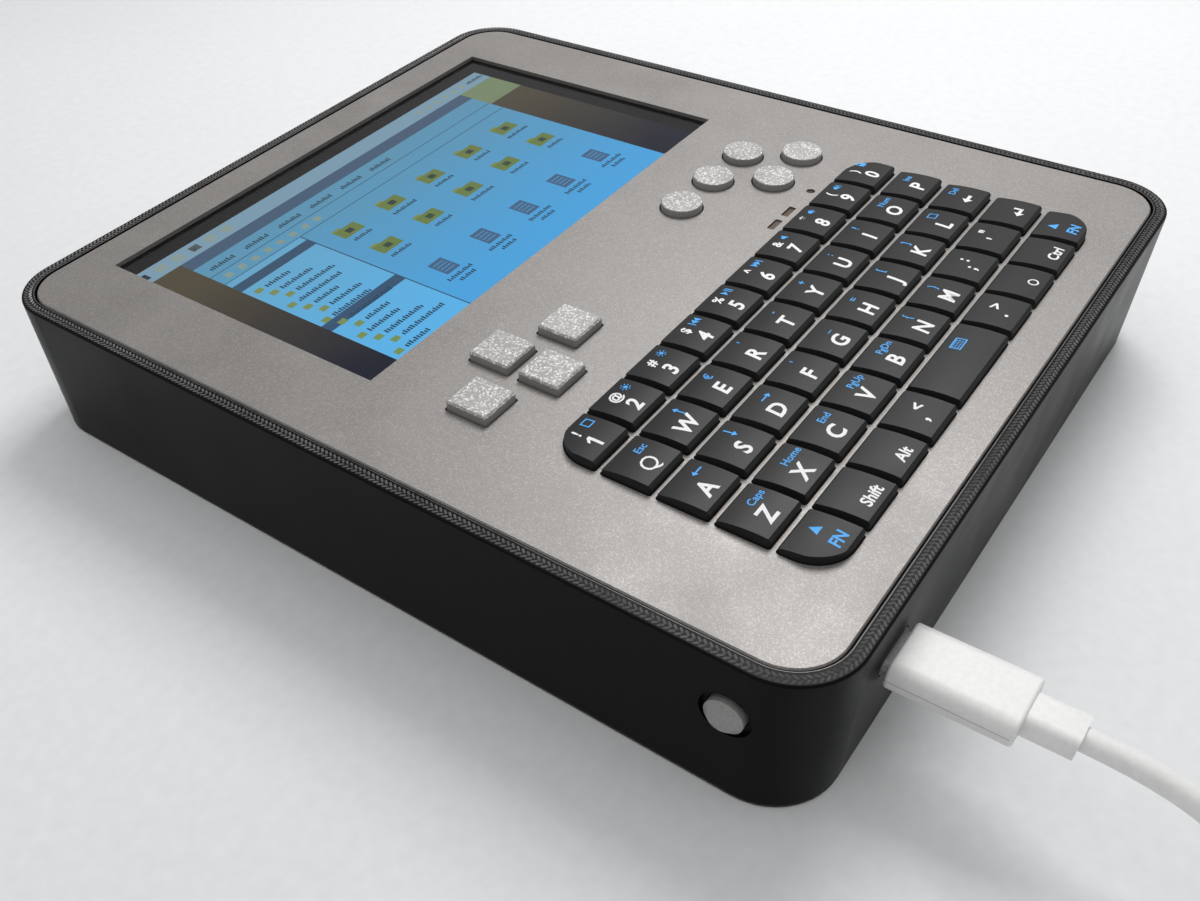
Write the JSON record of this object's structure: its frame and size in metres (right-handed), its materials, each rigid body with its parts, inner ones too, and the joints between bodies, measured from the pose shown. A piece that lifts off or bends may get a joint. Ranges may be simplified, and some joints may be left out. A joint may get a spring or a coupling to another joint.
{
  "type": "handheld computer",
  "caption": "Slab-shaped handheld computer with a screen, direction and action buttons, a thumb keyboard and a plug-in charging lead.",
  "frame": {"origin": "centre of the face that the case rests on", "axes": "+Z out of the front panel, +X the way the key legends read, +Y from the keyboard to the screen"},
  "size_m": [0.1474, 0.2798, 0.0296],
  "materials": {
    "case_black": "satin",
    "panel_silver": "fine grain",
    "button_silver": "fine grain",
    "key_charcoal": "satin",
    "screen_glass": "gloss",
    "screen_dark": "gloss",
    "tray_metal": "satin",
    "board_green": "satin",
    "switch_black": "satin",
    "mat_rubber": "matt",
    "light_clear": "gloss",
    "screw_steel": "satin",
    "insert_brass": "satin",
    "socket_steel": "satin",
    "ribbon_amber": "satin",
    "battery_foil": "satin",
    "wire_rubber": "matt",
    "lead_white": "satin"
  },
  "bodies": {
    "device": {"case_shell": "case_black", "bottom_cover": "case_black", "cover_screws": "screw_steel", "cover_inserts": "insert_brass", "front_panel": "panel_silver", "panel_screws": "screw_steel", "display_glass": "screen_glass", "display_cell": "screen_dark", "display_tray": "tray_metal", "display_board": "board_green", "board_spacers": "insert_brass", "power_switch": "switch_black", "button_board": "board_green", "tact_switches": "switch_black", "key_mat": "mat_rubber", "key_board": "board_green", "status_leds": "light_clear", "light_pipes": "light_clear", "main_board": "board_green", "compute_module": "board_green", "heat_sink": "tray_metal", "charge_socket": "socket_steel", "ribbon_cables": "ribbon_amber", "battery": "battery_foil", "battery_lead": "wire_rubber", "board_screws": "screw_steel"},
    "pad_up_body": {"pad_up": "button_silver"},
    "pad_down_body": {"pad_down": "button_silver"},
    "pad_left_body": {"pad_left": "button_silver"},
    "pad_right_body": {"pad_right": "button_silver"},
    "round_button_1_body": {"round_button_1": "button_silver"},
    "round_button_2_body": {"round_button_2": "button_silver"},
    "round_button_3_body": {"round_button_3": "button_silver"},
    "round_button_4_body": {"round_button_4": "button_silver"},
    "round_button_5_body": {"round_button_5": "button_silver"},
    "power_button_body": {"power_button": "button_silver"},
    "number_keys_body": {"number_keys": "key_charcoal"},
    "upper_letter_keys_body": {"upper_letter_keys": "key_charcoal"},
    "middle_letter_keys_body": {"middle_letter_keys": "key_charcoal"},
    "lower_letter_keys_body": {"lower_letter_keys": "key_charcoal"},
    "backspace_key_body": {"backspace_key": "key_charcoal"},
    "enter_key_body": {"enter_key": "key_charcoal"},
    "left_fn_key_body": {"left_fn_key": "key_charcoal"},
    "shift_key_body": {"shift_key": "key_charcoal"},
    "alt_key_body": {"alt_key": "key_charcoal"},
    "comma_key_body": {"comma_key": "key_charcoal"},
    "space_key_body": {"space_key": "key_charcoal"},
    "stop_key_body": {"stop_key": "key_charcoal"},
    "system_key_body": {"system_key": "key_charcoal"},
    "control_key_body": {"control_key": "key_charcoal"},
    "right_fn_key_body": {"right_fn_key": "key_charcoal"},
    "charge_lead": {"plug_shell": "socket_steel", "plug_mould": "lead_white", "plug_sleeve": "lead_white", "cable": "lead_white", "cable_coil": "lead_white", "coil_tie": "switch_black", "cable_tail": "lead_white", "far_plug_mould": "lead_white", "far_plug_shell": "socket_steel"}
  },
  "joints": [
    {"name": "pad_up_press", "type": "slide", "parent": "device", "child": "pad_up_body", "axis": [0, 0, -1], "range_m": [0, 0.0004], "stiffness_N_per_m": 4000},
    {"name": "pad_down_press", "type": "slide", "parent": "device", "child": "pad_down_body", "axis": [0, 0, -1], "range_m": [0, 0.0004], "stiffness_N_per_m": 4000},
    {"name": "pad_left_press", "type": "slide", "parent": "device", "child": "pad_left_body", "axis": [0, 0, -1], "range_m": [0, 0.0004], "stiffness_N_per_m": 4000},
    {"name": "pad_right_press", "type": "slide", "parent": "device", "child": "pad_right_body", "axis": [0, 0, -1], "range_m": [0, 0.0004], "stiffness_N_per_m": 4000},
    {"name": "round_button_1_press", "type": "slide", "parent": "device", "child": "round_button_1_body", "axis": [0, 0, -1], "range_m": [0, 0.0004], "stiffness_N_per_m": 4000},
    {"name": "round_button_2_press", "type": "slide", "parent": "device", "child": "round_button_2_body", "axis": [0, 0, -1], "range_m": [0, 0.0004], "stiffness_N_per_m": 4000},
    {"name": "round_button_3_press", "type": "slide", "parent": "device", "child": "round_button_3_body", "axis": [0, 0, -1], "range_m": [0, 0.0004], "stiffness_N_per_m": 4000},
    {"name": "round_button_4_press", "type": "slide", "parent": "device", "child": "round_button_4_body", "axis": [0, 0, -1], "range_m": [0, 0.0004], "stiffness_N_per_m": 4000},
    {"name": "round_button_5_press", "type": "slide", "parent": "device", "child": "round_button_5_body", "axis": [0, 0, -1], "range_m": [0, 0.0004], "stiffness_N_per_m": 4000},
    {"name": "power_button_press", "type": "slide", "parent": "device", "child": "power_button_body", "axis": [1, 0, 0], "range_m": [0, 0.0004], "stiffness_N_per_m": 4000},
    {"name": "number_keys_press", "type": "slide", "parent": "device", "child": "number_keys_body", "axis": [0, 0, -1], "range_m": [0, 0.001], "stiffness_N_per_m": 600},
    {"name": "upper_letter_keys_press", "type": "slide", "parent": "device", "child": "upper_letter_keys_body", "axis": [0, 0, -1], "range_m": [0, 0.001], "stiffness_N_per_m": 600},
    {"name": "middle_letter_keys_press", "type": "slide", "parent": "device", "child": "middle_letter_keys_body", "axis": [0, 0, -1], "range_m": [0, 0.001], "stiffness_N_per_m": 600},
    {"name": "lower_letter_keys_press", "type": "slide", "parent": "device", "child": "lower_letter_keys_body", "axis": [0, 0, -1], "range_m": [0, 0.001], "stiffness_N_per_m": 600},
    {"name": "backspace_key_press", "type": "slide", "parent": "device", "child": "backspace_key_body", "axis": [0, 0, -1], "range_m": [0, 0.001], "stiffness_N_per_m": 600},
    {"name": "enter_key_press", "type": "slide", "parent": "device", "child": "enter_key_body", "axis": [0, 0, -1], "range_m": [0, 0.001], "stiffness_N_per_m": 600},
    {"name": "left_fn_key_press", "type": "slide", "parent": "device", "child": "left_fn_key_body", "axis": [0, 0, -1], "range_m": [0, 0.001], "stiffness_N_per_m": 600},
    {"name": "shift_key_press", "type": "slide", "parent": "device", "child": "shift_key_body", "axis": [0, 0, -1], "range_m": [0, 0.001], "stiffness_N_per_m": 600},
    {"name": "alt_key_press", "type": "slide", "parent": "device", "child": "alt_key_body", "axis": [0, 0, -1], "range_m": [0, 0.001], "stiffness_N_per_m": 600},
    {"name": "comma_key_press", "type": "slide", "parent": "device", "child": "comma_key_body", "axis": [0, 0, -1], "range_m": [0, 0.001], "stiffness_N_per_m": 600},
    {"name": "space_key_press", "type": "slide", "parent": "device", "child": "space_key_body", "axis": [0, 0, -1], "range_m": [0, 0.001], "stiffness_N_per_m": 600},
    {"name": "stop_key_press", "type": "slide", "parent": "device", "child": "stop_key_body", "axis": [0, 0, -1], "range_m": [0, 0.001], "stiffness_N_per_m": 600},
    {"name": "system_key_press", "type": "slide", "parent": "device", "child": "system_key_body", "axis": [0, 0, -1], "range_m": [0, 0.001], "stiffness_N_per_m": 600},
    {"name": "control_key_press", "type": "slide", "parent": "device", "child": "control_key_body", "axis": [0, 0, -1], "range_m": [0, 0.001], "stiffness_N_per_m": 600},
    {"name": "right_fn_key_press", "type": "slide", "parent": "device", "child": "right_fn_key_body", "axis": [0, 0, -1], "range_m": [0, 0.001], "stiffness_N_per_m": 600},
    {"name": "unplug", "type": "slide", "parent": "device", "child": "charge_lead", "axis": [0, -1, 0], "range_m": [0, 0.012]}
  ]
}
